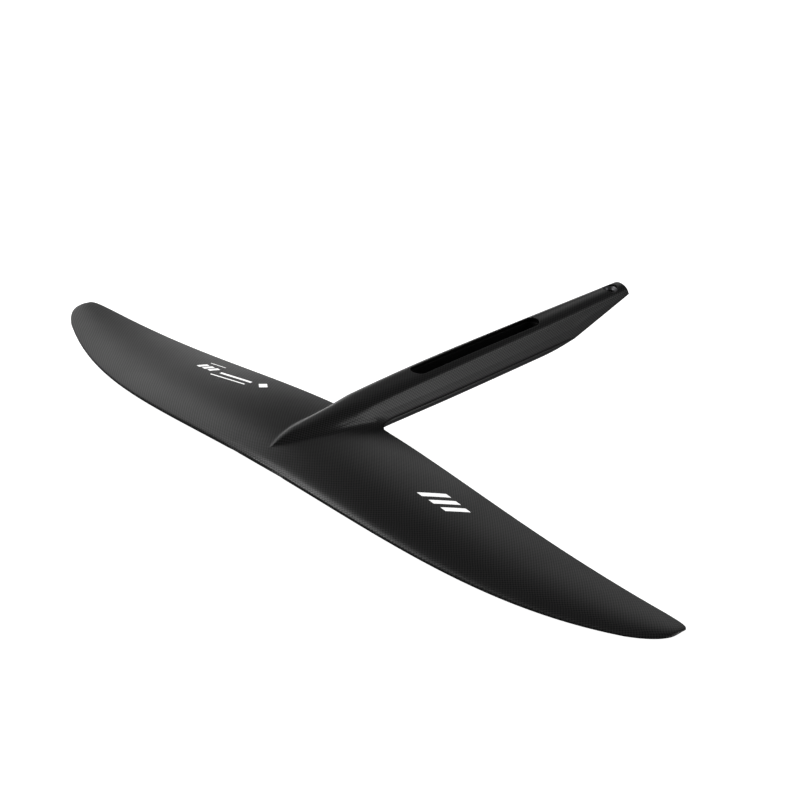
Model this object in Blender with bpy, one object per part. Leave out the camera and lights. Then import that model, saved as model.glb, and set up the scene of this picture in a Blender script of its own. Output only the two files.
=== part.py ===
"""Hydrofoil front wing moulded in one piece with its fuselage.

Two carbon shells, upper and lower, meet along a parting line that runs round the wing's edges and
back along the fuselage. Between them lie the foam cores, a spar of two caps and a web, the liner
that takes the mast, the bushes for the mast screws and the bush for the stabiliser screw.

Metres. X runs along the span, Y runs rearwards and Z runs up. The origin is the centre of the
mast pocket's floor. The shape is worked out in the wing's own frame, whose origin is the root's
leading edge, and is moved by ORIGIN when a mesh is made.
"""
import math

import bmesh
import bpy
import numpy as np

# Wing
HALF_SPAN = 0.3978
ROOT_CHORD = 0.12105
CURVE_REACH = 0.393          # x at which the edge curves below count as 1
LEADING_CURVE = {2: 0.0714, 3: -0.0426, 4: 0.0570, 8: -0.0025}
TRAILING_CURVE = {1: -0.0027, 2: -0.0267, 3: 0.0711, 4: -0.0448}
DROP_CURVE = {2: -0.1172, 3: 0.1024, 4: -0.0146}
TIP_START = 0.370            # x where both edges begin to round into the tip
TIP_LEAD_CURVE = ((0.3870, 0.0808), (HALF_SPAN, 0.0915), (HALF_SPAN, 0.1020))
TIP_TRAIL_CURVE = ((0.3880, 0.1178), (0.3985, 0.1170), (HALF_SPAN, 0.1100))
THICKNESS_ROOT = 0.113       # of the chord, before the edge thickness is added
THICKNESS_LOSS = 0.030
CAMBER = 0.025
INCIDENCE_ROOT = 0.0135
INCIDENCE_LOSS = 0.0111
EDGE_HALF = 0.00045          # half the thickness of the leading and trailing edges

# Fuselage
TAIL_END = 0.4480
PARTING_Z = -0.0036
SHELF_Z = 0.0163             # crest of the fairing's low front part
CREST_RISE = 0.0077          # from there up to the crest over the pocket and the tail
RISE_START = 0.050
RISE_LENGTH = 0.080
RISE_POWER = 1.3
DOME_RISE = 0.0083
SHOULDER_HALF = 0.0170
TAIL_HALF = 0.0112
PARTING_EXTRA = 0.0008       # the parting line stands this much wider than the shoulder
TAPER_START = 0.200
TAPER_POWER = 1.3
BELLY_Z = -0.0122
BELLY_RADIUS = 0.0090
FAIRING_START = 0.0180
FAIRING_LENGTH = 0.102
FAIRING_NOSE = 0.032
NOSE_POWER = 1.0
FAIRING_MIN_HALF = 0.0060
SWELL_REACH = 0.0240         # half width of the fairing's swelling at the trailing edge
SWELL_SPREAD = 2.8           # how fast it widens behind the nose
SWELL_CROWN = 2.5            # how flat its crown is
SWELL_FOOT = 2.2             # how softly its foot runs out
SWELL_LEAST_REACH = 0.0010
WALL_START = 0.0680          # behind this the swelling turns into upright walls
FILLET_WIDE = 0.0122
FILLET_HIGH = 0.0102
FILLET_SHARE = 0.45          # of the section's height, at most
DOME_SHARE = 0.60            # of the section's height over the wing, at most
BELLY_SHARE = 0.58           # of the lower section's height that its round corner may take
BELLY_SHARE_GAIN = 0.38      # more of it behind the trailing edge
LEAST_SWELLING = 0.0004      # below this height the section is the plain wing
WEB_LENGTH = 0.0220          # the trailing edge curves into the fuselage over this length
WEB_POWER = 2.5
PATCH_HALF = 0.0320          # the fuselage's fillets end inside this half width

# Scarf under the tail, where the stabiliser is bolted
SCARF_SLOPE = 0.272
SCARF_Y = 0.3931             # where the scarf's plane crosses the wing's own level
SCARF_BLEND = 0.0045
SCARF_EDGE_RADIUS = 0.0020
SCARF_EDGE_FROM = 0.345
SCARF_EDGE_TO = 0.385
PAD_DEPTH = 0.0018           # from the scarf up to the parting line

# Mast pocket, bushes and laminates
POCKET_Y = 0.2590
POCKET_LENGTH = 0.1550
POCKET_WIDTH = 0.0170
POCKET_FLOOR_Z = -0.0015
LINER_WALL = 0.0018
LINER_FLOOR = 0.0030
LINER_TOP_Z = 0.0182
MAST_SCREW_SPACING = 0.0900
MAST_SCREW_BORE = 0.0042
MAST_BUSH_BODY = 0.0062
MAST_BUSH_HEAD = 0.0080
MAST_BUSH_HEAD_DEPTH = 0.0016
TAIL_SCREW_Y = 0.4333
TAIL_SCREW_BORE = 0.0042
TAIL_BUSH_BODY = 0.0058
TAIL_BUSH_HEAD = 0.0073
TAIL_BUSH_TOP_Z = 0.0219
TAIL_BUSH_FOOT_Z = 0.0152
TAIL_BUSH_HEAD_DEPTH = 0.0016
COUNTERSINK_RIM = 0.0006
CUT_TOP_Z = 0.0290           # above the whole fuselage
CUT_MARGIN = 0.0020          # how far a cut runs past the face it opens
SKIN = 0.0014
GAP = 0.0003
WELD = 0.00002               # points nearer than this become one
FILLING_CLEAR = 0.0006       # glue line between the fuselage's filling and the shells

# Spar and cores, as fractions of the chord
CHORD_STATIONS = (0.0, 0.01, 0.035, 0.08, 0.14, 0.20, 0.30, 0.40, 0.53, 0.67, 0.80, 0.91, 1.0)
SPAR_FRONT = 5
SPAR_MIDDLE = 6
SPAR_REAR = 7
CORE_FRONT = 3
CORE_REAR = 9
REAR_CORE_INNER = 0.0190     # the rear cores start beside the fuselage's core
SPAR_CAP = 0.0012
WEB_HALF = 0.0020
WING_STATIONS = (0.032, 0.065, 0.105, 0.145, 0.185, 0.225, 0.265, 0.300, 0.330, 0.353, 0.370)
TIP_STEPS = 5
CORE_COLUMNS = 9             # wing stations that the cores and the spar caps reach
WEB_COLUMNS = 8              # wing stations that the spar's web reaches
AFT_ROWS = (0.1223, 0.1245, 0.1280, 0.1330, 0.1400, 0.1500, 0.1700, 0.2000, 0.2350, 0.2700, 0.3050,
            0.3350, 0.3450, 0.3550, 0.3650, 0.3750, 0.3850, 0.3980, 0.4110, 0.4240, 0.4370, TAIL_END)
UPPER_COLUMNS = 12
LOWER_COLUMNS = 9
ROW_MARGIN = 0.0030          # a filling's end lies no nearer than this to its next ring
DENSE = 24                   # points on each stretch of a section before it is thinned out
FUSELAGE_CORE_FRONT = 0.0500
POCKET_BLOCK_FRONT = 0.1700
POCKET_BLOCK_REAR = 0.3500
FUSELAGE_CORE_REAR = 0.4030
TAIL_BLOCK_REAR = 0.4430
TAIL_BLOCK_SHARE = 0.92      # of the room between the side walls
FLANGE_FRONT = 0.1600
FLANGE_REAR = 0.3500
FLANGE_RISE = 0.0035         # above the parting line
FLANGE_DEPTH = 0.0014        # below it
FLANGE_THICKNESS = 0.0008
BODY_RING_LIFT = 0.0020      # the core's width is taken this far above the parting line
WEB_CLEARANCE = 0.0001
ROUND_SEGMENTS = 24

ORIGIN = np.array([0.0, POCKET_Y, POCKET_FLOOR_Z])

MATERIALS = {
    "carbon_gloss": ((0.020, 0.020, 0.021), 0.32, 0.0),
    "carbon_plain": ((0.030, 0.030, 0.032), 0.50, 0.0),
    "foam": ((0.78, 0.72, 0.58), 0.90, 0.0),
    "steel": ((0.55, 0.55, 0.56), 0.32, 1.0),
}


# ---------------------------------------------------------------------- small helpers

def clear_scene():
    for item in list(bpy.data.objects):
        bpy.data.objects.remove(item, do_unlink=True)


def make_materials():
    made = {}
    for name, (colour, roughness, metallic) in MATERIALS.items():
        material = bpy.data.materials.new(name)
        material.use_nodes = True
        shader = material.node_tree.nodes["Principled BSDF"]
        shader.inputs["Base Color"].default_value = (*colour, 1.0)
        shader.inputs["Roughness"].default_value = roughness
        shader.inputs["Metallic"].default_value = metallic
        made[name] = material
    return made


def polynomial(terms, value):
    return sum(factor * value ** power for power, factor in terms.items())


def smooth_step(value, start, end):
    t = min(max((value - start) / (end - start), 0.0), 1.0)
    return t * t * (3.0 - 2.0 * t)


def soft_max(a, b, blend):
    """The larger of two values, with the corner rounded off within blend of where they cross."""
    near = max(blend - abs(a - b), 0.0)
    return max(a, b) + near * near / (4.0 * blend)


def bezier(points, t):
    p0, p1, p2, p3 = (np.array(point) for point in points)
    s = 1.0 - t
    return s ** 3 * p0 + 3 * s * s * t * p1 + 3 * s * t * t * p2 + t ** 3 * p3


def add_object(name, mesh_maker, material, smooth=True):
    """Make a mesh object from a bmesh that mesh_maker fills in the wing's frame."""
    work = bmesh.new()
    mesh_maker(work)
    bmesh.ops.remove_doubles(work, verts=work.verts, dist=WELD)
    bmesh.ops.dissolve_degenerate(work, edges=work.edges, dist=1e-7)
    bmesh.ops.translate(work, verts=work.verts, vec=-ORIGIN)
    bmesh.ops.recalc_face_normals(work, faces=work.faces)
    if work.calc_volume(signed=True) < 0.0:
        bmesh.ops.reverse_faces(work, faces=work.faces)
    mesh = bpy.data.meshes.new(name)
    work.to_mesh(mesh)
    work.free()
    if smooth:
        mesh.shade_smooth()
        mesh.set_sharp_from_angle(angle=math.radians(35.0))
    item = bpy.data.objects.new(name, mesh)
    bpy.context.collection.objects.link(item)
    mesh.materials.append(material)
    return item


def add_cutter(name, mesh_maker, targets):
    """Cut one closed shape out of each target."""
    cutter = add_object(name, mesh_maker, None, smooth=False)
    cutter.hide_render = True
    cutter.display_type = 'WIRE'
    for target in targets:
        cut = target.modifiers.new("cut_" + name, 'BOOLEAN')
        cut.operation = 'DIFFERENCE'
        cut.solver = 'EXACT'
        cut.object = cutter


# ---------------------------------------------------------------------- wing

def edge_points(column):
    """Leading and trailing edge points (x, y) of one spanwise column."""
    last = len(WING_STATIONS) - 1
    if column <= last:
        x = WING_STATIONS[column]
        return straight_edges(x)
    t = (column - last) / TIP_STEPS
    lead, trail = straight_edges(TIP_START)
    return bezier((lead, *TIP_LEAD_CURVE), t), bezier((trail, *TIP_TRAIL_CURVE), t)


def straight_edges(x):
    u = x / CURVE_REACH
    lead = polynomial(LEADING_CURVE, u)
    trail = ROOT_CHORD + polynomial(TRAILING_CURVE, u)
    return np.array([x, lead]), np.array([x, trail])


def drop(x):
    return polynomial(DROP_CURVE, abs(x) / CURVE_REACH)


def aerofoil_half(s, chord, u):
    """Half thickness at chord fraction s, a four-digit distribution on a thin edge."""
    tau = THICKNESS_ROOT - THICKNESS_LOSS * u
    shape = 0.2969 * math.sqrt(s) - 0.1260 * s - 0.3516 * s ** 2 + 0.2843 * s ** 3 - 0.1036 * s ** 4
    return 5.0 * tau * chord * shape + EDGE_HALF


def wing_point(lead, trail, s):
    """Point on the mean surface at chord fraction s, and the half thickness there."""
    chord = trail[1] - lead[1]
    u = lead[0] / CURVE_REACH
    x, y = (1.0 - s) * lead + s * trail
    incidence = (INCIDENCE_ROOT - INCIDENCE_LOSS * u) * chord
    z = (1.0 - s) * drop(lead[0]) + s * (drop(trail[0]) - incidence)
    z += 4.0 * CAMBER * s * (1.0 - s) * chord
    return np.array([x, y, z]), aerofoil_half(s, chord, u)


def centre_surface(x, y, side):
    """Height of the plain wing's surface, with no fuselage, near the root."""
    lead, trail = straight_edges(abs(x))
    s = min(max((y - lead[1]) / (trail[1] - lead[1]), 0.0), 1.0)
    mean, half = wing_point(lead, trail, s)
    return mean[2] + side * half


# ---------------------------------------------------------------------- fuselage section

def shoulder_half(y):
    if y < FAIRING_START + FAIRING_LENGTH:
        t = min(max((y - FAIRING_START) / FAIRING_LENGTH, 0.0), 1.0)
        return max(SHOULDER_HALF * math.sqrt(1.0 - (1.0 - t) ** 2), FAIRING_MIN_HALF)
    t = max(y - TAPER_START, 0.0) / (TAIL_END - TAPER_START)
    return SHOULDER_HALF + (TAIL_HALF - SHOULDER_HALF) * t ** TAPER_POWER


def parting_half(y):
    """Half width of the fuselage at the parting line."""
    if y <= ROOT_CHORD:
        return shoulder_half(y) + PARTING_EXTRA
    return side_x(y, max(PARTING_Z, scarf(y) + PAD_DEPTH))


def fairing_nose(y):
    t = min(max((y - FAIRING_START) / FAIRING_NOSE, 0.0), 1.0)
    return (1.0 - (1.0 - t) ** 2) ** NOSE_POWER


def crest(y):
    climb = (max(y - RISE_START, 0.0) / RISE_LENGTH) ** RISE_POWER
    height = SHELF_Z + CREST_RISE * (1.0 - math.exp(-climb))
    if y > ROOT_CHORD:
        return height
    skin = centre_surface(0.0, y, 1)
    return skin + max(height - skin, 0.0) * fairing_nose(y)


def scarf(y):
    return SCARF_SLOPE * (y - SCARF_Y)


def belly(y):
    level = soft_max(BELLY_Z, scarf(y), SCARF_BLEND)
    if y > ROOT_CHORD:
        return level
    skin = centre_surface(0.0, y, -1)
    return skin + min(level - skin, 0.0) * smooth_step(y, FAIRING_START, ROOT_CHORD)


def parting(x, y):
    """Height of the surface along which the two shells meet."""
    if y <= ROOT_CHORD:
        lead, trail = straight_edges(abs(x))
        s = min(max((y - lead[1]) / (trail[1] - lead[1]), 0.0), 1.0)
        return wing_point(lead, trail, s)[0][2]
    edge = parting(x, ROOT_CHORD)
    level = edge + (PARTING_Z - edge) * smooth_step(y, ROOT_CHORD, ROOT_CHORD + WEB_LENGTH)
    return max(level, scarf(y) + PAD_DEPTH)


def web_edge(y):
    """Outermost x behind the trailing edge, where wing and fuselage join in a curve."""
    t = min(max((y - ROOT_CHORD) / WEB_LENGTH, 0.0), 1.0)
    return parting_half(y) + FILLET_WIDE * (1.0 - t) ** WEB_POWER


def side_x(y, z):
    """Half width of the fuselage at a height above the parting line."""
    spring = crest(y) - DOME_RISE
    if z < spring:
        t = (spring - z) / (spring - PARTING_Z)
        return shoulder_half(y) + PARTING_EXTRA * min(t, 1.0)
    rise = min((z - spring) / DOME_RISE, 1.0)
    return shoulder_half(y) * math.sqrt(1.0 - rise ** 2)


def swelling(y, top, floor):
    """Half section of the fairing where it is a soft swelling on the wing."""
    t = max((y - FAIRING_START) / (ROOT_CHORD - FAIRING_START), 0.0)
    reach = max(SWELL_REACH * (1.0 - (1.0 - t) ** SWELL_SPREAD), SWELL_LEAST_REACH)
    points = []
    for x in np.linspace(0.0, PATCH_HALF, 4 * DENSE):
        bell = max(1.0 - (x / reach) ** SWELL_CROWN, 0.0) ** SWELL_FOOT
        points.append(np.array([x, floor(x) + (top - floor(0.0)) * bell]))
    return points


def even_points(points, count):
    """A line's points spaced evenly along its length."""
    pts = np.array(points)
    steps = np.hypot(*np.diff(pts, axis=0).T)
    along = np.concatenate([[0.0], np.cumsum(steps)]) / steps.sum()
    wanted = np.linspace(0.0, 1.0, count)
    return np.stack([np.interp(wanted, along, pts[:, k]) for k in (0, 1)], axis=1)


def rounded_cap(half, top, rise):
    """Quarter of an ellipse from the centre line to the side."""
    angles = np.linspace(0.0, math.pi / 2.0, DENSE)
    return [np.array([half * math.sin(a), top - rise * (1.0 - math.cos(a))]) for a in angles]


def flat_cap(half, top, radius):
    """Flat from the centre line to a round corner of the given radius, heights increasing outwards."""
    flat = [np.array([x, top]) for x in np.linspace(0.0, half - radius, DENSE // 2)]
    angles = np.linspace(0.0, math.pi / 2.0, DENSE)[1:]
    arc = [np.array([half - radius * (1.0 - math.sin(a)), top - radius * (1.0 - math.cos(a))])
           for a in angles]
    return flat + arc


def foot_fillet(half, wide, high, floor):
    """Hollow curve from the wall out to the wing, where floor(x) is the height it lands on."""
    angles = np.linspace(0.0, math.pi / 2.0, DENSE)
    points = []
    for angle in angles:
        x = half + wide * (1.0 - math.cos(angle))
        points.append(np.array([x, floor(x) + high * (1.0 - math.sin(angle))]))
    return points


def section(y, side):
    """Half section from the centre line outwards, as (x, height) with height along side."""
    top = side * (crest(y) if side > 0 else belly(y))
    half = shoulder_half(y)
    foot_half = parting_half(y)
    if y <= ROOT_CHORD:
        wide = FILLET_WIDE
        end_x = PATCH_HALF

        def floor(x):
            return side * centre_surface(x, y, side)
    else:
        wide = web_edge(y) - foot_half
        end_x = web_edge(y)
        fade = max(wide / FILLET_WIDE, 0.0)
        edge = EDGE_HALF * fade + 0.5 * GAP * (1.0 - fade)

        def floor(x):
            return side * parting(x, y) + edge

    height = top - floor(0.0)
    high = min(FILLET_HIGH, FILLET_SHARE * height)
    if y <= ROOT_CHORD and height < LEAST_SWELLING:
        return [np.array([x, floor(x)]) for x in np.linspace(0.0, end_x, 3 * DENSE)]
    soft = None
    if side > 0 and y < ROOT_CHORD:
        soft = swelling(y, top, floor)
        if y < WALL_START:
            return soft
    if side > 0:
        rise = min(DOME_RISE, DOME_SHARE * height) if y <= ROOT_CHORD else DOME_RISE
        cap = rounded_cap(half, top, rise)
        high = min(high, height - rise)
    else:
        radius = BELLY_RADIUS
        radius += (SCARF_EDGE_RADIUS - radius) * smooth_step(y, SCARF_EDGE_FROM, SCARF_EDGE_TO)
        half = side_x(y, parting(0.0, y)) if y > ROOT_CHORD else foot_half
        foot_half = half
        share = BELLY_SHARE + BELLY_SHARE_GAIN * smooth_step(y, ROOT_CHORD, ROOT_CHORD + WEB_LENGTH)
        cap = flat_cap(half, top, min(radius, share * height))
        if y > ROOT_CHORD:
            high = min(high, height * (1.0 - share))
    points = list(cap)
    if high > 0.0:
        points += foot_fillet(foot_half, wide, high, floor)
    if end_x > points[-1][0] + 1e-6:
        points += [np.array([x, floor(x)]) for x in np.linspace(points[-1][0], end_x, 4)[1:]]
    points = distinct(points)
    if soft is not None:
        upright = smooth_step(y, WALL_START, ROOT_CHORD)
        count = 4 * DENSE
        points = list(even_points(soft, count) * (1.0 - upright) + even_points(points, count) * upright)
    return clip_section(points, y, side)


def distinct(points):
    """The same points with repeats left out."""
    kept = points[:1]
    for point in points[1:]:
        if np.hypot(*(point - kept[-1])) > 1e-6:
            kept.append(point)
    return kept


def clip_section(points, y, side):
    """Cut a section off at the parting line."""
    if y <= ROOT_CHORD:
        return points
    level = side * parting(0.0, y) + 0.5 * GAP
    kept = [point for point in points if point[1] > level + 1e-9]
    if len(kept) < len(points):
        following = points[len(kept)]
        t = (kept[-1][1] - level) / max(kept[-1][1] - following[1], 1e-9)
        kept.append(kept[-1] + min(t, 1.0) * (following - kept[-1]))
    return distinct(kept)


def offset_section(points, depth, y, side):
    """Move a section inwards along its own normals, no nearer the parting line than half a gap."""
    pts = np.array(points)
    slope = np.gradient(pts, axis=0)
    slope[0] = (1.0, 0.0)
    length = np.hypot(slope[:, 0], slope[:, 1])
    inward = np.stack([slope[:, 1], -slope[:, 0]], axis=1) / length[:, None]
    moved = pts + depth * inward
    moved[:, 0] = np.maximum(moved[:, 0], 0.0)
    floor = np.array([side * parting(x, y) for x in moved[:, 0]]) + 0.5 * GAP
    moved[:, 1] = np.maximum(moved[:, 1], floor)
    return moved


def thin_out(points, moved, count):
    """Take count + 1 evenly spaced points of a section and their partners on its offset."""
    pts = np.array(points)
    steps = np.hypot(*np.diff(pts, axis=0).T)
    along = np.concatenate([[0.0], np.cumsum(steps)]) / steps.sum()
    wanted = np.linspace(0.0, 1.0, count + 1)
    outer = np.stack([np.interp(wanted, along, pts[:, k]) for k in (0, 1)], axis=1)
    inner = np.stack([np.interp(wanted, along, moved[:, k]) for k in (0, 1)], axis=1)
    return outer, inner


# ---------------------------------------------------------------------- shells

def shell_points(side):
    """Outer and inner points of one shell, keyed by (row, column)."""
    columns = UPPER_COLUMNS if side > 0 else LOWER_COLUMNS
    outer, inner = {}, {}
    for row, s in enumerate(CHORD_STATIONS):
        add_centre_row(outer, inner, row, s * ROOT_CHORD, columns, side, s)
        add_wing_row(outer, inner, row, s, columns, side)
    first = len(CHORD_STATIONS)
    for row, y in enumerate(AFT_ROWS, start=first):
        add_centre_row(outer, inner, row, y, columns, side)
    if side > 0:
        close_tail(outer, inner, first + len(AFT_ROWS), columns)
    return outer, inner


def add_centre_row(outer, inner, row, y, columns, side, s=None):
    points = section(y, side)
    depth_y = y
    if y == AFT_ROWS[-1] and side > 0:
        depth_y = y - SKIN
    moved = offset_section(section(depth_y, side), SKIN, depth_y, side)
    pts, ins = thin_out(points, resampled(moved, len(points)), columns)
    for column in range(columns + 1):
        for mirror in (-1, 1):
            x, height = pts[column]
            ix, inner_height = ins[column]
            shift = 0.0 if s is None else (1.0 - s) * straight_edges(x)[0][1]
            outer[row, mirror * column] = np.array([mirror * x, y + shift, side * height])
            inner[row, mirror * column] = np.array([mirror * ix, depth_y + shift, side * inner_height])


def resampled(points, count):
    """The same curve with another number of points."""
    old = np.linspace(0.0, 1.0, len(points))
    new = np.linspace(0.0, 1.0, count)
    return np.stack([np.interp(new, old, points[:, k]) for k in (0, 1)], axis=1)


def add_wing_row(outer, inner, row, s, columns, side):
    for column in range(len(WING_STATIONS) + TIP_STEPS):
        lead, trail = edge_points(column)
        mean, half = wing_point(lead, trail, s)
        inside = max(half - SKIN, 0.5 * GAP)
        for mirror in (-1, 1):
            key = (row, mirror * (columns + column))
            flip = np.array([mirror, 1.0, 1.0])
            outer[key] = (mean + np.array([0.0, 0.0, side * half])) * flip
            inner[key] = (mean + np.array([0.0, 0.0, side * inside])) * flip


def close_tail(outer, inner, row, columns):
    """End wall: the last section is carried straight down to the parting line."""
    for points in (outer, inner):
        for column in range(-columns, columns + 1):
            above = points[row - 1, column]
            level = points[row - 1, columns][2]
            points[row, column] = np.array([above[0], above[1], level])


def fill_sheet(work, outer, inner):
    """Closed solid between two sheets that share their keys."""
    top = {key: work.verts.new(point) for key, point in outer.items()}
    low = {key: work.verts.new(point) for key, point in inner.items()}
    uses = {}
    for row, column in outer:
        corners = [(row, column), (row, column + 1), (row + 1, column + 1), (row + 1, column)]
        if any(corner not in outer for corner in corners):
            continue
        work.faces.new([top[corner] for corner in corners])
        work.faces.new([low[corner] for corner in reversed(corners)])
        for start, end in zip(corners, corners[1:] + corners[:1]):
            uses[start, end] = uses.get((start, end), 0) + 1
    for start, end in uses:
        if (end, start) not in uses:
            work.faces.new([top[end], top[start], low[start], low[end]])
    loose = [vert for vert in work.verts if not vert.link_faces]
    bmesh.ops.delete(work, geom=loose, context='VERTS')


def make_shell(name, side, material):
    outer, inner = shell_points(side)
    return add_object(name, lambda work: fill_sheet(work, outer, inner), material)


# ---------------------------------------------------------------------- spar and cores

def fill_loft(work, rings):
    """Closed solid through rings of equal length, with both ends filled."""
    loops = [[work.verts.new(point) for point in ring] for ring in rings]
    count = len(loops[0])
    for ring, following in zip(loops, loops[1:]):
        for k in range(count):
            n = (k + 1) % count
            work.faces.new([ring[k], ring[n], following[n], following[k]])
    work.faces.new(list(reversed(loops[0])))
    work.faces.new(loops[-1])


def mirrored(rings, side):
    return [[point * np.array([side, 1.0, 1.0]) for point in ring] for ring in rings]


def half_columns(count=CORE_COLUMNS):
    """Edge points of the first wing stations, outwards from the root."""
    return [straight_edges(x) for x in WING_STATIONS[:count]]


def layered_ring(lead, trail, stations, top_depth, low_depth):
    """Ring of a strip between two depths below the wing's upper and lower surfaces."""
    upper, lower = [], []
    for s in stations:
        mean, half = wing_point(lead, trail, s)
        upper.append(mean + np.array([0.0, 0.0, half - top_depth]))
        lower.append(mean + np.array([0.0, 0.0, low_depth - half]))
    return upper + lower[::-1]


def cap_ring(lead, trail, side):
    stations = [CHORD_STATIONS[k] for k in (SPAR_FRONT, SPAR_MIDDLE, SPAR_REAR)]
    near, far = [], []
    for s in stations:
        mean, half = wing_point(lead, trail, s)
        near.append(mean + np.array([0.0, 0.0, side * (half - SKIN - GAP)]))
        far.append(mean + np.array([0.0, 0.0, side * (half - SKIN - GAP - SPAR_CAP)]))
    return near + far[::-1]


def make_spar_cap(name, side, material):
    columns = half_columns()
    right = [cap_ring(lead, trail, side) for lead, trail in columns]
    left = mirrored(right[::-1], -1)
    centre = [cap_ring(*straight_edges(0.0), side)]
    return add_object(name, lambda work: fill_loft(work, left + centre + right), material)


def web_ring(lead, trail):
    mean, half = wing_point(lead, trail, CHORD_STATIONS[SPAR_MIDDLE])
    reach = half - SKIN - 2.0 * GAP - SPAR_CAP - WEB_CLEARANCE
    ring = []
    for y, z in ((-WEB_HALF, reach), (WEB_HALF, reach), (WEB_HALF, -reach), (-WEB_HALF, -reach)):
        ring.append(mean + np.array([0.0, y, z]))
    return ring


def make_shear_web(material):
    right = [web_ring(lead, trail) for lead, trail in half_columns(WEB_COLUMNS)]
    left = mirrored(right[::-1], -1)
    centre = [web_ring(*straight_edges(0.0))]
    return add_object("shear_web", lambda work: fill_loft(work, left + centre + right), material)


def core_ring(lead, trail, first, last):
    """Ring of a core that fills the wing from one chord station to another."""
    chord = trail[1] - lead[1]
    clear = GAP / chord
    stations = list(CHORD_STATIONS[first:last + 1])
    if first == SPAR_REAR:
        stations[0] += clear
    else:
        stations[-1] -= clear
    depth = SKIN + GAP
    return layered_ring(lead, trail, stations, depth, depth)


def make_wing_core(name, side, first, last, inner_x, material):
    columns = [straight_edges(inner_x)] + half_columns()
    if first == SPAR_REAR:
        columns = columns[:1] + columns[2:]
    rings = [core_ring(lead, trail, first, last) for lead, trail in columns]
    rings = mirrored(rings, side)
    return add_object(name, lambda work: fill_loft(work, rings), material)


def body_ring(y, samples):
    """Ring of the fuselage's filling, clear of both shells."""
    depth = SKIN + FILLING_CLEAR
    upper = offset_section(section(y, 1), depth, y, 1)
    lower = offset_section(section(y, -1), depth, y, -1)
    half = side_x(y, parting(0.0, y) + BODY_RING_LIFT) - SKIN - FLANGE_THICKNESS - 3.0 * GAP
    if y > FUSELAGE_CORE_REAR:
        half *= TAIL_BLOCK_SHARE
    xs = np.linspace(-half, half, samples)
    ring = [np.array([x, y, height_at(upper, abs(x))]) for x in xs]
    ring += [np.array([x, y, -height_at(lower, abs(x))]) for x in xs[::-1]]
    return ring


def height_at(points, x):
    """Lowest height of an offset section at x, which is safe where it turns down the wall."""
    order = np.argsort(points[:, 0], kind="stable")
    return float(np.interp(x, points[order, 0], np.minimum.accumulate(points[order, 1])))


def body_rows(front, rear):
    """Stations of a filling: its two ends and the shells' own rows between them."""
    ahead = [s * ROOT_CHORD for s in CHORD_STATIONS]
    between = [y for y in (*ahead, *AFT_ROWS) if front + ROW_MARGIN < y < rear - ROW_MARGIN]
    return [front, *between, rear]


def make_body_filling(name, stations, samples, material):
    rings = [body_ring(y, samples) for y in stations]
    return add_object(name, lambda work: fill_loft(work, rings), material)


def make_flange(name, side, material):
    """Bonding strip inside the fuselage's wall, lapping the parting line."""
    rings = []
    for y in np.linspace(FLANGE_FRONT, FLANGE_REAR, 8):
        low, high = PARTING_Z - FLANGE_DEPTH, PARTING_Z + FLANGE_RISE
        outer_x = side_x(y, high) - SKIN - 1.5 * GAP
        inner_x = outer_x - FLANGE_THICKNESS
        rings.append([np.array([x, y, z]) for x, z in
                      ((inner_x, low), (outer_x, low), (outer_x, high), (inner_x, high))])
    rings = mirrored(rings, side)
    return add_object(name, lambda work: fill_loft(work, rings), material, smooth=False)


# ---------------------------------------------------------------------- pocket and bushes

def stadium(half_width, length, y, z, steps=9):
    """Slot outline, a rectangle with round ends along Y."""
    reach = 0.5 * length - half_width
    ring = []
    for end, start in ((1, 0.0), (-1, math.pi)):
        for k in range(steps + 1):
            angle = start + math.pi * k / steps
            ring.append(np.array([half_width * math.cos(angle),
                                  y + end * reach + half_width * math.sin(angle), z]))
    return ring


def pocket_prism(work, extra, low, high):
    half = 0.5 * POCKET_WIDTH + extra
    length = POCKET_LENGTH + 2.0 * extra
    fill_loft(work, [stadium(half, length, POCKET_Y, z) for z in (low, high)])


def fill_liner(work):
    """Open-topped cup: outer wall, rim, inner wall and floor."""
    half = 0.5 * POCKET_WIDTH
    bottom = POCKET_FLOOR_Z - LINER_FLOOR
    outside = (half + LINER_WALL, POCKET_LENGTH + 2.0 * LINER_WALL)
    inside = (half, POCKET_LENGTH)
    profile = ((outside, bottom), (outside, LINER_TOP_Z), (inside, LINER_TOP_Z), (inside, POCKET_FLOOR_Z))
    fill_loft(work, [stadium(width, length, POCKET_Y, z) for (width, length), z in profile])


def circle(radius, y, z):
    angles = [2.0 * math.pi * (k + 0.5) / ROUND_SEGMENTS for k in range(ROUND_SEGMENTS)]
    return [np.array([radius * math.cos(a), y + radius * math.sin(a), z]) for a in angles]


def fill_cylinder(work, radius, y, low, high):
    fill_loft(work, [circle(radius, y, low), circle(radius, y, high)])


def fill_turned(work, y, profile):
    """Ring turned about a vertical axis at y, from a closed (radius, z) profile."""
    loops = [[work.verts.new(point) for point in circle(radius, y, z)] for radius, z in profile]
    for ring, following in zip(loops, loops[1:] + loops[:1]):
        for k in range(ROUND_SEGMENTS):
            n = (k + 1) % ROUND_SEGMENTS
            work.faces.new([ring[k], ring[n], following[n], following[k]])


def bush_profile(bore, body, head, head_depth, face_z, foot_z):
    """Countersunk bush with its head at face_z and its foot at foot_z."""
    inward = 1.0 if foot_z > face_z else -1.0
    sink = head - COUNTERSINK_RIM - bore
    return [(bore, foot_z), (body, foot_z), (body, face_z + inward * head_depth),
            (head, face_z + inward * head_depth), (head, face_z), (head - COUNTERSINK_RIM, face_z),
            (bore, face_z + inward * sink)]


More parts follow.
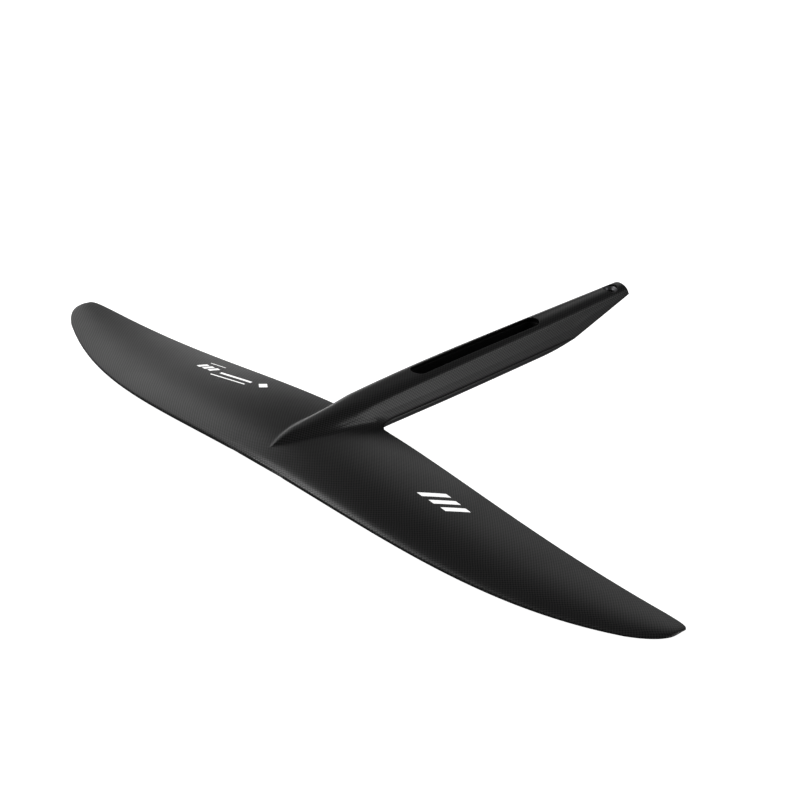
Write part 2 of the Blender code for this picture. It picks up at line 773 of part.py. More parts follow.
def make_mast_bushes(material):
    foot = POCKET_FLOOR_Z - LINER_FLOOR - GAP
    profile = bush_profile(MAST_SCREW_BORE, MAST_BUSH_BODY, MAST_BUSH_HEAD, MAST_BUSH_HEAD_DEPTH,
                           BELLY_Z, foot)
    for name, sign in (("mast_screw_bush_front", -1), ("mast_screw_bush_rear", 1)):
        y = POCKET_Y + sign * 0.5 * MAST_SCREW_SPACING
        add_object(name, lambda work, y=y: fill_turned(work, y, profile), material)


def make_tail_bush(material):
    profile = bush_profile(TAIL_SCREW_BORE, TAIL_BUSH_BODY, TAIL_BUSH_HEAD, TAIL_BUSH_HEAD_DEPTH,
                           TAIL_BUSH_TOP_Z, TAIL_BUSH_FOOT_Z)
    add_object("tail_screw_bush", lambda work: fill_turned(work, TAIL_SCREW_Y, profile), material)


# ---------------------------------------------------------------------- cuts

def cut_pocket(upper, core, liner, lower):
    mouth = LINER_TOP_Z - CUT_MARGIN
    add_cutter("pocket_mouth", lambda work: pocket_prism(work, 0.0, mouth, CUT_TOP_Z), [upper])
    low = POCKET_FLOOR_Z - LINER_FLOOR - GAP
    add_cutter("liner_room", lambda work: pocket_prism(work, LINER_WALL + GAP, low, CUT_TOP_Z), [core])
    for sign in (-1, 1):
        y = POCKET_Y + sign * 0.5 * MAST_SCREW_SPACING
        name = "front" if sign < 0 else "rear"
        add_cutter("bush_room_" + name,
                   lambda work, y=y: fill_bush_room(work, y), [core, lower])
        add_cutter("screw_room_" + name,
                   lambda work, y=y: fill_cylinder(work, MAST_SCREW_BORE, y, low - CUT_MARGIN,
                                                   POCKET_FLOOR_Z + CUT_MARGIN), [liner])


def fill_bush_room(work, y):
    """Room for a mast bush through the belly, stepped like the bush."""
    shelf = BELLY_Z + MAST_BUSH_HEAD_DEPTH + GAP
    roof = POCKET_FLOOR_Z - LINER_FLOOR + 0.5 * CUT_MARGIN
    rings = [circle(MAST_BUSH_HEAD + GAP, y, BELLY_Z - CUT_MARGIN),
             circle(MAST_BUSH_HEAD + GAP, y, shelf),
             circle(MAST_BUSH_BODY + GAP, y, shelf), circle(MAST_BUSH_BODY + GAP, y, roof)]
    fill_loft(work, rings)


def cut_tail(upper, block, lower):
    low = scarf(TAIL_SCREW_Y) - 2.0 * CUT_MARGIN
    shelf = TAIL_BUSH_TOP_Z - TAIL_BUSH_HEAD_DEPTH - GAP

    def fill_head_room(work):
        steps = ((TAIL_BUSH_BODY, low), (TAIL_BUSH_BODY, shelf),
                 (TAIL_BUSH_HEAD, shelf), (TAIL_BUSH_HEAD, CUT_TOP_Z))
        fill_loft(work, [circle(radius + GAP, TAIL_SCREW_Y, z) for radius, z in steps])

    add_cutter("tail_bush_room", fill_head_room, [upper, block])
    add_cutter("tail_screw_room",
               lambda work: fill_cylinder(work, TAIL_SCREW_BORE, TAIL_SCREW_Y, low, CUT_TOP_Z),
               [lower])


# ---------------------------------------------------------------------- assembly

def build():
    clear_scene()
    materials = make_materials()
    gloss, plain = materials["carbon_gloss"], materials["carbon_plain"]
    foam, steel = materials["foam"], materials["steel"]

    upper = make_shell("upper_shell", 1, gloss)
    lower = make_shell("lower_shell", -1, gloss)
    make_spar_cap("spar_cap_upper", 1, plain)
    make_spar_cap("spar_cap_lower", -1, plain)
    make_shear_web(plain)
    for label, side in (("left", -1), ("right", 1)):
        make_wing_core("wing_core_front_" + label, side, CORE_FRONT, SPAR_FRONT, 0.5 * GAP, foam)
        make_wing_core("wing_core_rear_" + label, side, SPAR_REAR, CORE_REAR, REAR_CORE_INNER, foam)
        make_flange("parting_flange_" + label, side, plain)

    make_body_filling("fuselage_core_front", body_rows(FUSELAGE_CORE_FRONT, POCKET_BLOCK_FRONT), 9, foam)
    pocket_block = make_body_filling("pocket_block", body_rows(POCKET_BLOCK_FRONT + GAP, POCKET_BLOCK_REAR),
                                     9, plain)
    make_body_filling("fuselage_core_rear", body_rows(POCKET_BLOCK_REAR + GAP, FUSELAGE_CORE_REAR), 9, foam)
    tail_block = make_body_filling("tail_block", body_rows(FUSELAGE_CORE_REAR + GAP, TAIL_BLOCK_REAR),
                                   7, plain)
    liner = add_object("mast_pocket_liner", fill_liner, plain)
    make_mast_bushes(steel)
    make_tail_bush(steel)
    cut_pocket(upper, pocket_block, liner, lower)
    cut_tail(upper, tail_block, lower)


build()
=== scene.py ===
import math

import bmesh
import bpy
import numpy as np
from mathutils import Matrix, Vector


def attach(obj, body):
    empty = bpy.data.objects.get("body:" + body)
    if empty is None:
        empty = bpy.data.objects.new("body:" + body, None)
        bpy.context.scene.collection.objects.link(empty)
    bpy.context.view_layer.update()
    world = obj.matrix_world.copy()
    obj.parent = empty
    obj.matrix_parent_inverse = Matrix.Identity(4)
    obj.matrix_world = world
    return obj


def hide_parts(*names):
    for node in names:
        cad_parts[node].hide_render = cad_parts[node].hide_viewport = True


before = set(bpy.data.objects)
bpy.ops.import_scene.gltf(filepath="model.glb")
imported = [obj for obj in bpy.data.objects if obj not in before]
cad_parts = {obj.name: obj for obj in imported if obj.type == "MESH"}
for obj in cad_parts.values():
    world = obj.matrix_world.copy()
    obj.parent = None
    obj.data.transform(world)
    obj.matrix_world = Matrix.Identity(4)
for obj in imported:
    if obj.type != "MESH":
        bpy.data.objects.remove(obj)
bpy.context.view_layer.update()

# The shape is worked out in the wing's own frame, in metres: X along the span, Y rearwards, Z up,
# with the root's leading edge at the origin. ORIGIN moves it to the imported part's frame.

# Wing
HALF_SPAN = 0.3978
ROOT_CHORD = 0.12105
CURVE_REACH = 0.393          # x at which the edge curves below count as 1
LEADING_CURVE = {2: 0.0714, 3: -0.0426, 4: 0.0570, 8: -0.0025}
TRAILING_CURVE = {1: -0.0027, 2: -0.0267, 3: 0.0711, 4: -0.0448}
DROP_CURVE = {2: -0.1172, 3: 0.1024, 4: -0.0146}
TIP_START = 0.370            # x where both edges begin to round into the tip
TIP_LEAD_CURVE = ((0.3870, 0.0808), (HALF_SPAN, 0.0915), (HALF_SPAN, 0.1020))
TIP_TRAIL_CURVE = ((0.3880, 0.1178), (0.3985, 0.1170), (HALF_SPAN, 0.1100))
THICKNESS_ROOT = 0.113       # of the chord, before the edge thickness is added
THICKNESS_LOSS = 0.030
CAMBER = 0.025
INCIDENCE_ROOT = 0.0135
INCIDENCE_LOSS = 0.0111
EDGE_HALF = 0.00045          # half the thickness of the leading and trailing edges

# Fuselage
TAIL_END = 0.4480
PARTING_Z = -0.0036
SHELF_Z = 0.0163             # crest of the fairing's low front part
CREST_RISE = 0.0077          # from there up to the crest over the pocket and the tail
RISE_START = 0.050
RISE_LENGTH = 0.080
RISE_POWER = 1.3
DOME_RISE = 0.0083
SHOULDER_HALF = 0.0170
TAIL_HALF = 0.0112
PARTING_EXTRA = 0.0008       # the parting line stands this much wider than the shoulder
TAPER_START = 0.200
TAPER_POWER = 1.3
BELLY_Z = -0.0122
BELLY_RADIUS = 0.0090
FAIRING_START = 0.0180
FAIRING_LENGTH = 0.102
FAIRING_NOSE = 0.032
NOSE_POWER = 1.0
FAIRING_MIN_HALF = 0.0060
SWELL_REACH = 0.0240         # half width of the fairing's swelling at the trailing edge
SWELL_SPREAD = 2.8           # how fast it widens behind the nose
SWELL_CROWN = 2.5            # how flat its crown is
SWELL_FOOT = 2.2             # how softly its foot runs out
SWELL_LEAST_REACH = 0.0010
WALL_START = 0.0680          # behind this the swelling turns into upright walls
FILLET_WIDE = 0.0122
FILLET_HIGH = 0.0102
FILLET_SHARE = 0.45          # of the section's height, at most
DOME_SHARE = 0.60            # of the section's height over the wing, at most
BELLY_SHARE = 0.58           # of the lower section's height that its round corner may take
BELLY_SHARE_GAIN = 0.38      # more of it behind the trailing edge
LEAST_SWELLING = 0.0004      # below this height the section is the plain wing
WEB_LENGTH = 0.0220          # the trailing edge curves into the fuselage over this length
WEB_POWER = 2.5
PATCH_HALF = 0.0320          # the fuselage's fillets end inside this half width

# Scarf under the tail, where the stabiliser is bolted
SCARF_SLOPE = 0.272
SCARF_Y = 0.3931             # where the scarf's plane crosses the wing's own level
SCARF_BLEND = 0.0045
SCARF_EDGE_RADIUS = 0.0020
SCARF_EDGE_FROM = 0.345
SCARF_EDGE_TO = 0.385
PAD_DEPTH = 0.0018           # from the scarf up to the parting line

# Mast pocket, bushes and laminates
POCKET_Y = 0.2590
POCKET_LENGTH = 0.1550
POCKET_WIDTH = 0.0170
POCKET_FLOOR_Z = -0.0015
LINER_WALL = 0.0018
LINER_FLOOR = 0.0030
LINER_TOP_Z = 0.0182
MAST_SCREW_SPACING = 0.0900
MAST_SCREW_BORE = 0.0042
MAST_BUSH_BODY = 0.0062
MAST_BUSH_HEAD = 0.0080
MAST_BUSH_HEAD_DEPTH = 0.0016
TAIL_SCREW_Y = 0.4333
TAIL_SCREW_BORE = 0.0042
TAIL_BUSH_BODY = 0.0058
TAIL_BUSH_HEAD = 0.0073
TAIL_BUSH_TOP_Z = 0.0219
TAIL_BUSH_FOOT_Z = 0.0152
TAIL_BUSH_HEAD_DEPTH = 0.0016
COUNTERSINK_RIM = 0.0006
CUT_TOP_Z = 0.0290           # above the whole fuselage
CUT_MARGIN = 0.0020          # how far a cut runs past the face it opens
SKIN = 0.0014
GAP = 0.0003

ORIGIN = np.array([0.0, POCKET_Y, POCKET_FLOOR_Z])

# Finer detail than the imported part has
CHORD_ROWS = 76
WING_STATIONS = tuple(PATCH_HALF + (TIP_START - PATCH_HALF) * k / 54 for k in range(55))
TIP_STEPS = 18
UPPER_COLUMNS = 60
LOWER_COLUMNS = 44
DENSE = 60                   # points on each stretch of a section before it is thinned out
AFT_STRETCHES = ((0.1211, 0.1440, 20), (0.1440, 0.3400, 34), (0.3400, 0.4000, 20), (0.4000, 0.4462, 14))
NOSE_ROUND = 0.008           # chord fraction over which the leading edge closes
TIP_ROUND = 0.0012
TAIL_ROUND = 0.0008
TAIL_ROUND_STEPS = 6
INNER_STEP = 0.00001         # neighbouring points of an inner sheet stay at least this far apart
TAIL_SQUEEZE = 0.4400        # behind this the inner sheet falls back, to leave the end wall its thickness
SEAM_DEPTH = 0.00060         # the wall turns in by this much towards the parting line
SEAM_REACH = 0.0030
SEAM_DEPTH_LOWER = 0.00010
SEAM_REACH_LOWER = 0.0010
MOUTH_ROUND = 0.0007         # radius of the slot's edge
HOLE_ROUND = 0.6 * MOUTH_ROUND
SMOOTH_LIMIT = 38.0          # degrees; edges sharper than this stay sharp
SAME_POINT = 1e-6            # points of a section nearer than this count as one
NEAR_ZERO = 1e-9
EDGE_LEAST = 0.00002         # least thickness of a skin where the wing's edges close
TIP_SPACING = 1.5            # columns crowd together towards the tip by this power
SEAM_FADE = 0.3              # share of the web behind which the seam begins to show
MERGE_DISTANCE = 0.000004    # vertices of a skin nearer than this become one
COLLAPSE_LENGTH = 0.000001   # shorter edges of a skin are taken out


# ---------------------------------------------------------------------- small helpers

def polynomial(terms, value):
    return sum(factor * value ** power for power, factor in terms.items())


def smooth_step(value, start, end):
    t = min(max((value - start) / (end - start), 0.0), 1.0)
    return t * t * (3.0 - 2.0 * t)


def soft_max(a, b, blend):
    """The larger of two values, with the corner rounded off within blend of where they cross."""
    near = max(blend - abs(a - b), 0.0)
    return max(a, b) + near * near / (4.0 * blend)


def bezier(points, t):
    p0, p1, p2, p3 = (np.array(point) for point in points)
    s = 1.0 - t
    return s ** 3 * p0 + 3 * s * s * t * p1 + 3 * s * t * t * p2 + t ** 3 * p3


# ---------------------------------------------------------------------- wing

def edge_points(column):
    """Leading and trailing edge points (x, y) of one spanwise column."""
    if column < len(WING_STATIONS):
        return straight_edges(WING_STATIONS[column])
    t = (column - len(WING_STATIONS) + 1) / TIP_STEPS
    t = 1.0 - (1.0 - t) ** TIP_SPACING
    lead, trail = straight_edges(TIP_START)
    return bezier((lead, *TIP_LEAD_CURVE), t), bezier((trail, *TIP_TRAIL_CURVE), t)


def straight_edges(x):
    u = x / CURVE_REACH
    lead = polynomial(LEADING_CURVE, u)
    trail = ROOT_CHORD + polynomial(TRAILING_CURVE, u)
    return np.array([x, lead]), np.array([x, trail])


def drop(x):
    return polynomial(DROP_CURVE, abs(x) / CURVE_REACH)


def aerofoil_half(s, chord, u):
    """Half thickness at chord fraction s, a four-digit distribution on a thin edge."""
    tau = THICKNESS_ROOT - THICKNESS_LOSS * u
    shape = 0.2969 * math.sqrt(s) - 0.1260 * s - 0.3516 * s ** 2 + 0.2843 * s ** 3 - 0.1036 * s ** 4
    return 5.0 * tau * chord * shape + EDGE_HALF


def wing_point(lead, trail, s):
    """Point on the mean surface at chord fraction s, and the half thickness there."""
    chord = trail[1] - lead[1]
    u = lead[0] / CURVE_REACH
    x, y = (1.0 - s) * lead + s * trail
    incidence = (INCIDENCE_ROOT - INCIDENCE_LOSS * u) * chord
    z = (1.0 - s) * drop(lead[0]) + s * (drop(trail[0]) - incidence)
    z += 4.0 * CAMBER * s * (1.0 - s) * chord
    return np.array([x, y, z]), aerofoil_half(s, chord, u)


def centre_surface(x, y, side):
    """Height of the plain wing's surface, with no fuselage, near the root."""
    lead, trail = straight_edges(abs(x))
    s = min(max((y - lead[1]) / (trail[1] - lead[1]), 0.0), 1.0)
    mean, half = wing_point(lead, trail, s)
    return mean[2] + side * half


# ---------------------------------------------------------------------- fuselage section

def shoulder_half(y):
    if y < FAIRING_START + FAIRING_LENGTH:
        t = min(max((y - FAIRING_START) / FAIRING_LENGTH, 0.0), 1.0)
        return max(SHOULDER_HALF * math.sqrt(1.0 - (1.0 - t) ** 2), FAIRING_MIN_HALF)
    t = max(y - TAPER_START, 0.0) / (TAIL_END - TAPER_START)
    return SHOULDER_HALF + (TAIL_HALF - SHOULDER_HALF) * t ** TAPER_POWER


def parting_half(y):
    """Half width of the fuselage at the parting line."""
    if y <= ROOT_CHORD:
        return shoulder_half(y) + PARTING_EXTRA
    return side_x(y, max(PARTING_Z, scarf(y) + PAD_DEPTH))


def fairing_nose(y):
    t = min(max((y - FAIRING_START) / FAIRING_NOSE, 0.0), 1.0)
    return (1.0 - (1.0 - t) ** 2) ** NOSE_POWER


def crest(y):
    climb = (max(y - RISE_START, 0.0) / RISE_LENGTH) ** RISE_POWER
    height = SHELF_Z + CREST_RISE * (1.0 - math.exp(-climb))
    if y > ROOT_CHORD:
        return height
    skin = centre_surface(0.0, y, 1)
    return skin + max(height - skin, 0.0) * fairing_nose(y)


def scarf(y):
    return SCARF_SLOPE * (y - SCARF_Y)


def belly(y):
    level = soft_max(BELLY_Z, scarf(y), SCARF_BLEND)
    if y > ROOT_CHORD:
        return level
    skin = centre_surface(0.0, y, -1)
    return skin + min(level - skin, 0.0) * smooth_step(y, FAIRING_START, ROOT_CHORD)


def parting(x, y):
    """Height of the surface along which the two shells meet."""
    if y <= ROOT_CHORD:
        lead, trail = straight_edges(abs(x))
        s = min(max((y - lead[1]) / (trail[1] - lead[1]), 0.0), 1.0)
        return wing_point(lead, trail, s)[0][2]
    edge = parting(x, ROOT_CHORD)
    level = edge + (PARTING_Z - edge) * smooth_step(y, ROOT_CHORD, ROOT_CHORD + WEB_LENGTH)
    return max(level, scarf(y) + PAD_DEPTH)


def web_edge(y):
    """Outermost x behind the trailing edge, where wing and fuselage join in a curve."""
    t = min(max((y - ROOT_CHORD) / WEB_LENGTH, 0.0), 1.0)
    return parting_half(y) + FILLET_WIDE * (1.0 - t) ** WEB_POWER


def side_x(y, z):
    """Half width of the fuselage at a height above the parting line."""
    spring = crest(y) - DOME_RISE
    if z < spring:
        t = (spring - z) / (spring - PARTING_Z)
        return shoulder_half(y) + PARTING_EXTRA * min(t, 1.0)
    rise = min((z - spring) / DOME_RISE, 1.0)
    return shoulder_half(y) * math.sqrt(1.0 - rise ** 2)


def swelling(y, top, floor):
    """Half section of the fairing where it is a soft swelling on the wing."""
    t = max((y - FAIRING_START) / (ROOT_CHORD - FAIRING_START), 0.0)
    reach = max(SWELL_REACH * (1.0 - (1.0 - t) ** SWELL_SPREAD), SWELL_LEAST_REACH)
    points = []
    for x in np.linspace(0.0, PATCH_HALF, 4 * DENSE):
        bell = max(1.0 - (x / reach) ** SWELL_CROWN, 0.0) ** SWELL_FOOT
        points.append(np.array([x, floor(x) + (top - floor(0.0)) * bell]))
    return points


def even_points(points, count):
    """A line's points spaced evenly along its length."""
    pts = np.array(points)
    steps = np.hypot(*np.diff(pts, axis=0).T)
    along = np.concatenate([[0.0], np.cumsum(steps)]) / steps.sum()
    wanted = np.linspace(0.0, 1.0, count)
    return np.stack([np.interp(wanted, along, pts[:, k]) for k in (0, 1)], axis=1)


def rounded_cap(half, top, rise):
    """Quarter of an ellipse from the centre line to the side."""
    angles = np.linspace(0.0, math.pi / 2.0, DENSE)
    return [np.array([half * math.sin(a), top - rise * (1.0 - math.cos(a))]) for a in angles]


def flat_cap(half, top, radius):
    """Flat from the centre line to a round corner of the given radius, heights increasing outwards."""
    flat = [np.array([x, top]) for x in np.linspace(0.0, half - radius, DENSE // 2)]
    angles = np.linspace(0.0, math.pi / 2.0, DENSE)[1:]
    arc = [np.array([half - radius * (1.0 - math.sin(a)), top - radius * (1.0 - math.cos(a))])
           for a in angles]
    return flat + arc


def foot_fillet(half, wide, high, floor):
    """Hollow curve from the wall out to the wing, where floor(x) is the height it lands on."""
    angles = np.linspace(0.0, math.pi / 2.0, DENSE)
    points = []
    for angle in angles:
        x = half + wide * (1.0 - math.cos(angle))
        points.append(np.array([x, floor(x) + high * (1.0 - math.sin(angle))]))
    return points


def section(y, side):
    """Half section from the centre line outwards, as (x, height) with height along side."""
    top = side * (crest(y) if side > 0 else belly(y))
    half = shoulder_half(y)
    foot_half = parting_half(y)
    if y <= ROOT_CHORD:
        wide = FILLET_WIDE
        end_x = PATCH_HALF

        def floor(x):
            return side * centre_surface(x, y, side)
    else:
        wide = web_edge(y) - foot_half
        end_x = web_edge(y)
        fade = max(wide / FILLET_WIDE, 0.0)
        edge = EDGE_HALF * fade + 0.5 * GAP * (1.0 - fade)

        def floor(x):
            return side * parting(x, y) + edge

    height = top - floor(0.0)
    high = min(FILLET_HIGH, FILLET_SHARE * height)
    if y <= ROOT_CHORD and height < LEAST_SWELLING:
        return [np.array([x, floor(x)]) for x in np.linspace(0.0, end_x, 3 * DENSE)]
    soft = None
    if side > 0 and y < ROOT_CHORD:
        soft = swelling(y, top, floor)
        if y < WALL_START:
            return soft
    if side > 0:
        rise = min(DOME_RISE, DOME_SHARE * height) if y <= ROOT_CHORD else DOME_RISE
        cap = rounded_cap(half, top, rise)
        high = min(high, height - rise)
    else:
        radius = BELLY_RADIUS
        radius += (SCARF_EDGE_RADIUS - radius) * smooth_step(y, SCARF_EDGE_FROM, SCARF_EDGE_TO)
        half = side_x(y, parting(0.0, y)) if y > ROOT_CHORD else foot_half
        foot_half = half
        share = BELLY_SHARE + BELLY_SHARE_GAIN * smooth_step(y, ROOT_CHORD, ROOT_CHORD + WEB_LENGTH)
        cap = flat_cap(half, top, min(radius, share * height))
        if y > ROOT_CHORD:
            high = min(high, height * (1.0 - share))
    points = list(cap)
    if high > 0.0:
        points += foot_fillet(foot_half, wide, high, floor)
    if end_x > points[-1][0] + SAME_POINT:
        points += [np.array([x, floor(x)]) for x in np.linspace(points[-1][0], end_x, 4)[1:]]
    points = distinct(points)
    if soft is not None:
        upright = smooth_step(y, WALL_START, ROOT_CHORD)
        count = 4 * DENSE
        points = list(even_points(soft, count) * (1.0 - upright) + even_points(points, count) * upright)
    return clip_section(points, y, side)


def distinct(points):
    """The same points with repeats left out."""
    kept = points[:1]
    for point in points[1:]:
        if np.hypot(*(point - kept[-1])) > SAME_POINT:
            kept.append(point)
    return kept


def clip_section(points, y, side):
    """Cut a section off at the parting line."""
    if y <= ROOT_CHORD:
        return points
    level = side * parting(0.0, y) + 0.5 * GAP
    kept = [point for point in points if point[1] > level + NEAR_ZERO]
    if len(kept) < len(points):
        following = points[len(kept)]
        t = (kept[-1][1] - level) / max(kept[-1][1] - following[1], NEAR_ZERO)
        kept.append(kept[-1] + min(t, 1.0) * (following - kept[-1]))
    return distinct(kept)


def offset_section(points, depth, y, side):
    """Move a section inwards along its own normals, no nearer the parting line than half a gap."""
    pts = np.array(points)
    slope = np.gradient(pts, axis=0)
    slope[0] = (1.0, 0.0)
    length = np.hypot(slope[:, 0], slope[:, 1])
    inward = np.stack([slope[:, 1], -slope[:, 0]], axis=1) / length[:, None]
    moved = pts + depth * inward
    moved[:, 0] = np.maximum(moved[:, 0], INNER_STEP * np.arange(len(moved)))
    floor = np.array([side * parting(x, y) for x in moved[:, 0]]) + 0.5 * GAP
    moved[:, 1] = np.maximum(moved[:, 1], floor)
    return moved


def thin_out(points, moved, count):
    """Take count + 1 evenly spaced points of a section and their partners on its offset."""
    pts = np.array(points)
    steps = np.hypot(*np.diff(pts, axis=0).T)
    along = np.concatenate([[0.0], np.cumsum(steps)]) / steps.sum()
    wanted = np.linspace(0.0, 1.0, count + 1)
    outer = np.stack([np.interp(wanted, along, pts[:, k]) for k in (0, 1)], axis=1)
    inner = np.stack([np.interp(wanted, along, moved[:, k]) for k in (0, 1)], axis=1)
    return outer, inner


# ---------------------------------------------------------------------- skins

def edge_round(s, x):
    """How much of the edges' thickness is left near the leading edge and the tip."""
    nose = math.sqrt(1.0 - (1.0 - min(s / NOSE_ROUND, 1.0)) ** 2)
    tip = math.sqrt(1.0 - min(max((x - HALF_SPAN + TIP_ROUND) / TIP_ROUND, 0.0), 1.0) ** 2)
    return nose * tip


def aft_stations():
    """Rows behind the trailing edge, closer together where the tail's end is rounded."""
    stations = []
    for start, end, steps in AFT_STRETCHES:
        stations += [start + (end - start) * k / steps for k in range(steps)]
    for k in range(TAIL_ROUND_STEPS + 1):
        angle = 0.5 * math.pi * k / TAIL_ROUND_STEPS
        stations.append(TAIL_END - TAIL_ROUND * (1.0 - math.sin(angle)))
    return stations


def tail_inset(y):
    """How far the section is drawn in where the tail's end is rounded."""
    t = max(y - TAIL_END + TAIL_ROUND, 0.0) / TAIL_ROUND
    return TAIL_ROUND * (1.0 - math.sqrt(max(1.0 - t * t, 0.0)))


def skin_points(side):
    """Outer and inner points of one skin and its weave coordinates, keyed by (row, column)."""
    columns = UPPER_COLUMNS if side > 0 else LOWER_COLUMNS
    outer, inner, weave = {}, {}, {}
    for row in range(CHORD_ROWS + 1):
        s = 0.5 * (1.0 - math.cos(math.pi * row / CHORD_ROWS))
        reach = add_body_row(outer, inner, weave, row, s * ROOT_CHORD, columns, side, s)
        add_span_row(outer, inner, weave, row, s, columns, side, reach)
    row = CHORD_ROWS + 1
    for y in aft_stations():
        add_body_row(outer, inner, weave, row, y, columns, side)
        row += 1
    if side > 0:
        close_end(outer, inner, weave, row, columns)
    return outer, inner, weave


def add_body_row(outer, inner, weave, row, y, columns, side, s=None):
    """One row across the fuselage. Returns the distance round the section to its last point."""
    shape = section(y, side)
    inset = tail_inset(y) if side > 0 else 0.0
    if inset > 0.0:
        shape = list(offset_section(shape, inset, y, side))
    depth_y = y
    if side > 0 and y > TAIL_SQUEEZE:
        depth_y -= SKIN * (y - TAIL_SQUEEZE) / (TAIL_END - TAIL_SQUEEZE)
    moved = offset_section(section(depth_y, side), SKIN, depth_y, side)
    pts, ins = thin_out(shape, resampled(moved, len(shape)), columns)
    around = np.concatenate([[0.0], np.cumsum(np.hypot(*np.diff(pts, axis=0).T))])
    if s is None:
        soften_seam(pts, y, side)
    for column in range(columns + 1):
        for mirror in (-1, 1):
            x, height = pts[column]
            ix, inner_height = ins[column]
            shift = 0.0 if s is None else (1.0 - s) * straight_edges(x)[0][1]
            if s is not None:
                lead, trail = straight_edges(x)
                plain = aerofoil_half(s, trail[1] - lead[1], x / CURVE_REACH)
                height -= EDGE_HALF * (1.0 - edge_round(s, x)) * min(1.0, plain / max(height, plain))
            key = (row, mirror * column)
            outer[key] = np.array([mirror * x, y + shift, side * height])
            inner[key] = np.array([mirror * ix, depth_y + shift, side * inner_height])
            weave[key] = (mirror * around[column], y + shift)
    return around[-1]


def soften_seam(pts, y, side):
    """Turn the last bit of the wall in towards the parting line."""
    depth, reach = (SEAM_DEPTH, SEAM_REACH) if side > 0 else (SEAM_DEPTH_LOWER, SEAM_REACH_LOWER)
    depth *= smooth_step(y, ROOT_CHORD + SEAM_FADE * WEB_LENGTH, ROOT_CHORD + WEB_LENGTH)
    depth *= 1.0 - smooth_step(y, SCARF_EDGE_FROM, SCARF_EDGE_TO)
    level = pts[-1][1]
    for point in pts:
        share = 1.0 - (point[1] - level) / reach
        if share > 0.0:
            point[0] -= depth * share * share


def resampled(points, count):
    """The same curve with another number of points."""
    old = np.linspace(0.0, 1.0, len(points))
    new = np.linspace(0.0, 1.0, count)
    return np.stack([np.interp(new, old, points[:, k]) for k in (0, 1)], axis=1)


def add_span_row(outer, inner, weave, row, s, columns, side, reach):
    """One row from the fuselage's patch out to both tips."""
    for column in range(1, len(WING_STATIONS) + TIP_STEPS):
        lead, trail = edge_points(column)
        mean, half = wing_point(lead, trail, s)
        inside = max(half - SKIN, 0.5 * GAP)
        half = max(half - EDGE_HALF * (1.0 - edge_round(s, mean[0])), 0.5 * GAP + EDGE_LEAST)
        for mirror in (-1, 1):
            key = (row, mirror * (columns + column))
            flip = np.array([mirror, 1.0, 1.0])
            outer[key] = (mean + np.array([0.0, 0.0, side * half])) * flip
            inner[key] = (mean + np.array([0.0, 0.0, side * min(inside, half - INNER_STEP)])) * flip
            weave[key] = (mirror * (reach + mean[0] - PATCH_HALF), mean[1])


def close_end(outer, inner, weave, row, columns):
    """End wall of the tail, down to the parting line."""
    for points in (outer, inner):
        for column in range(-columns, columns + 1):
            above = points[row - 1, column]
            level = points[row - 1, columns][2]
            points[row, column] = np.array([above[0], above[1], level])
    for column in range(-columns, columns + 1):
        drop_length = outer[row - 1, column][2] - outer[row, column][2]
        across, along = weave[row - 1, column]
        weave[row, column] = (across, along + drop_length)


def sheet_mesh(name, outer, inner, weave):
    """Closed skin between two sheets, with its weave coordinates in a UV map."""
    work = bmesh.new()
    layer = work.loops.layers.uv.new("weave")
    top = {key: work.verts.new(Vector(point - ORIGIN)) for key, point in outer.items()}
    low = {key: work.verts.new(Vector(point - ORIGIN)) for key, point in inner.items()}
    place = {}
    for key in outer:
        place[top[key]] = weave[key]
        place[low[key]] = weave[key]
    uses = set()
    for row, column in outer:
        corners = [(row, column), (row, column + 1), (row + 1, column + 1), (row + 1, column)]
        if any(corner not in outer for corner in corners):
            continue
        work.faces.new([top[corner] for corner in corners])
        work.faces.new([low[corner] for corner in reversed(corners)])
        uses.update(zip(corners, corners[1:] + corners[:1]))
    for start, end in uses:
        if (end, start) not in uses:
            work.faces.new([top[end], top[start], low[start], low[end]])
    for face in work.faces:
        for loop in face.loops:
            loop[layer].uv = place[loop.vert]
    bmesh.ops.delete(work, geom=[v for v in work.verts if not v.link_faces], context='VERTS')
    bmesh.ops.remove_doubles(work, verts=work.verts, dist=MERGE_DISTANCE)
    bmesh.ops.dissolve_degenerate(work, edges=work.edges, dist=COLLAPSE_LENGTH)
    bmesh.ops.delete(work, geom=[edge for edge in work.edges if not edge.link_faces], context='EDGES')
    return finished(name, work)


def finished(name, work):
    """Turn a bmesh into an object with its faces outwards and its sharp edges marked."""
    bmesh.ops.recalc_face_normals(work, faces=work.faces)
    if work.calc_volume(signed=True) < 0.0:
        bmesh.ops.reverse_faces(work, faces=work.faces)
    mesh = bpy.data.meshes.new(name)
    work.to_mesh(mesh)
    work.free()
    item = bpy.data.objects.new(name, mesh)
    bpy.context.scene.collection.objects.link(item)
    mark_sharp(item)
    return item


def mark_sharp(item):
    item.data.shade_smooth()
    item.data.set_sharp_from_angle(angle=math.radians(SMOOTH_LIMIT))


def loft(name, rings, closed_profile=False):
    """Solid through rings of equal length: ends filled, or joined round to the first ring."""
    work = bmesh.new()
    loops = [[work.verts.new(Vector(point - ORIGIN)) for point in ring] for ring in rings]
    count = len(loops[0])
    following = loops[1:] + loops[:1] if closed_profile else loops[1:]
    for ring, other in zip(loops, following):
        for k in range(count):
            n = (k + 1) % count
            work.faces.new([ring[k], ring[n], other[n], other[k]])
    if not closed_profile:
        work.faces.new(list(reversed(loops[0])))
        work.faces.new(loops[-1])
    return finished(name, work)


